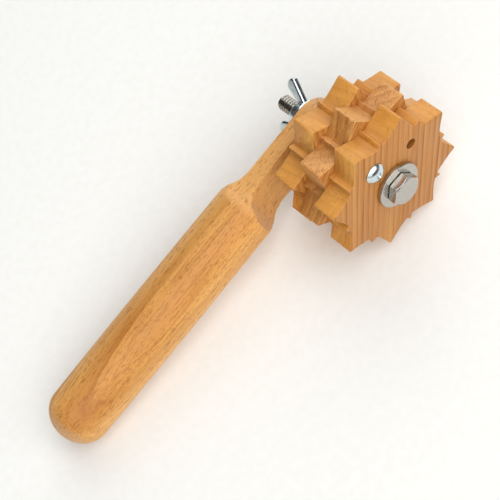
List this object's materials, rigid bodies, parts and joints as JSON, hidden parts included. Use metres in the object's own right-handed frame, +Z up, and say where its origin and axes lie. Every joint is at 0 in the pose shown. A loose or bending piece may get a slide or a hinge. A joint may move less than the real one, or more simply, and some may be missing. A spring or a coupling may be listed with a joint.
{
  "type": "clay texture wheel",
  "caption": "Hand roller for clay: scalloped wooden discs screwed into one wheel that spins on a bolt through the neck of a turned wooden handle.",
  "frame": {"origin": "on the surface that the tool lies on, under the middle of its bounding box", "axes": "+X along the handle from the grip's round end to the neck (the handle slopes up 6 degrees towards the wheel), +Y from the bolt's head towards the wing nut, +Z up; the tool lies at rest on two wheel teeth and the end of the grip"},
  "size_m": [0.1798, 0.0682, 0.0608],
  "materials": {
    "beech_handle": "steamed beech, turned and oiled, satin",
    "beech_disc": "steamed beech, sawn and lightly sanded, satin",
    "plain_steel": "dull zinc-plated steel, slightly grained",
    "bright_zinc": "bright bluish zinc plating, smooth"
  },
  "bodies": {
    "handle_frame": {"handle": "beech_handle", "axle_bolt": "plain_steel", "head_washer": "plain_steel", "wheel_washer": "plain_steel", "axle_nut": "plain_steel"},
    "wheel": {"texture_disc_front": "beech_disc", "texture_disc_middle": "beech_disc", "texture_disc_back": "beech_disc", "disc_screw": "bright_zinc"},
    "clamp_washer": {"handle_washer": "bright_zinc"},
    "wing_nut": {"wing_nut": "bright_zinc"}
  },
  "joints": [
    {"name": "wheel_spin", "type": "hinge", "parent": "handle_frame", "child": "wheel", "pos_m": [0.05983, -0.01157, 0.03037], "axis": [0.0134, 0.9919, -0.1263], "continuous": true},
    {"name": "washer_slide", "type": "slide", "parent": "handle_frame", "child": "clamp_washer", "axis": [0.0134, 0.9919, -0.1263], "range_m": [0, 0.00891]},
    {"name": "wing_nut_turn", "type": "hinge", "parent": "clamp_washer", "child": "wing_nut", "pos_m": [0.06029, 0.02295, 0.02598], "axis": [0.0134, 0.9919, -0.1263], "range_deg": [0, 2520]}
  ],
  "couplings": [
    {"joint": "washer_slide", "follows": "wing_nut_turn", "m_per_rad": 0.00020213}
  ]
}
